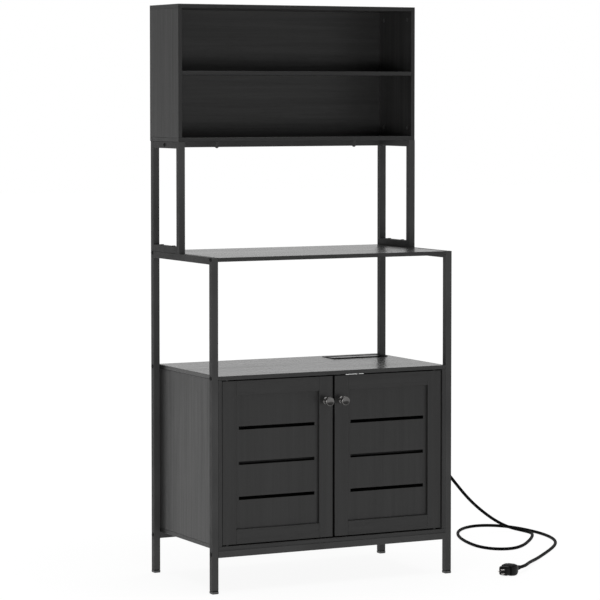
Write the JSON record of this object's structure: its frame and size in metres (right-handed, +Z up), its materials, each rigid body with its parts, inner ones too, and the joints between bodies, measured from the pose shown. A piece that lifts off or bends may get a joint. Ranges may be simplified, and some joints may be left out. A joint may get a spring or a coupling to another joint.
{
  "type": "bakers rack",
  "caption": "Freestanding kitchen rack: steel frame, cabinet with slotted panel doors, worktop with flush outlets and a cord, middle shelf and open hutch on top.",
  "frame": {"origin": "on the floor, under the middle of the rack without its cord", "axes": "+X to the right seen from the front, +Y to the back, +Z up"},
  "size_m": [1.4351, 0.8745, 1.711],
  "materials": {
    "frame_steel": "satin black powder coat",
    "top_board": "charcoal black woodgrain laminate, low gloss",
    "case_board": "charcoal black woodgrain laminate, low gloss",
    "door_board": "charcoal black woodgrain laminate, low gloss",
    "back_sheet": "charcoal black woodgrain foil",
    "cap_plastic": "moulded, matt",
    "bolt_steel": "black oxide, satin",
    "pin_steel": "turned, satin",
    "cam_metal": "dark zinc casting",
    "catch_steel": "bright zinc",
    "catch_plastic": "moulded, matt",
    "knob_metal": "dark nickel, polished",
    "bush_plastic": "moulded, matt",
    "outlet_trim": "moulded, satin",
    "outlet_plastic": "moulded, fine texture",
    "usb_steel": "stamped, bright",
    "cord_jacket": "soft jacket, satin",
    "cord_plastic": "moulded, satin",
    "prong_metal": "plated, bright"
  },
  "bodies": {
    "frame": {"left_front_post": "frame_steel", "left_back_post": "frame_steel", "left_shelf_rail": "frame_steel", "left_upper_front_post": "frame_steel", "left_upper_back_post": "frame_steel", "left_upper_low_rail": "frame_steel", "left_upper_top_rail": "frame_steel", "right_front_post": "frame_steel", "right_back_post": "frame_steel", "right_shelf_rail": "frame_steel", "right_upper_front_post": "frame_steel", "right_upper_back_post": "frame_steel", "right_upper_low_rail": "frame_steel", "right_upper_top_rail": "frame_steel", "front_cross_rail": "frame_steel", "rear_cross_rail": "frame_steel", "rear_top_rail": "frame_steel", "leg_caps": "cap_plastic", "frame_bolts": "bolt_steel", "worktop": "top_board", "middle_shelf": "top_board", "cabinet_floor": "case_board", "cabinet_shelf": "case_board", "left_cabinet_side": "case_board", "right_cabinet_side": "case_board", "hutch_floor": "case_board", "hutch_shelf": "case_board", "hutch_top": "case_board", "left_hutch_side": "case_board", "right_hutch_side": "case_board", "cabinet_back": "back_sheet", "hutch_back": "back_sheet", "cabinet_shelf_pins": "pin_steel", "board_cams": "cam_metal", "door_pivot_pins": "pin_steel", "catch_plate": "catch_steel", "catch_magnet": "catch_plastic", "outlet_bezel": "outlet_trim", "outlet_box": "outlet_plastic", "outlet_face": "outlet_plastic", "usb_ports": "usb_steel", "cord_gland": "cord_plastic", "cord": "cord_jacket", "plug_body": "cord_plastic", "plug_prongs": "prong_metal"},
    "left_door": {"left_door_outer_stile": "door_board", "left_door_inner_stile": "door_board", "left_door_low_rail": "door_board", "left_door_top_rail": "door_board", "left_door_slotted_panel": "door_board", "left_door_knob": "knob_metal", "left_door_pivot_bushes": "bush_plastic"},
    "right_door": {"right_door_outer_stile": "door_board", "right_door_inner_stile": "door_board", "right_door_low_rail": "door_board", "right_door_top_rail": "door_board", "right_door_slotted_panel": "door_board", "right_door_knob": "knob_metal", "right_door_pivot_bushes": "bush_plastic", "right_door_strike": "catch_steel"}
  },
  "joints": [
    {"name": "left_door_hinge", "type": "hinge", "parent": "frame", "child": "left_door", "pos_m": [-0.346, -0.1925, 0.3785], "axis": [0, 0, -1], "range_deg": [0, 110]},
    {"name": "right_door_hinge", "type": "hinge", "parent": "frame", "child": "right_door", "pos_m": [0.346, -0.1925, 0.3785], "axis": [0, 0, 1], "range_deg": [0, 110]}
  ]
}
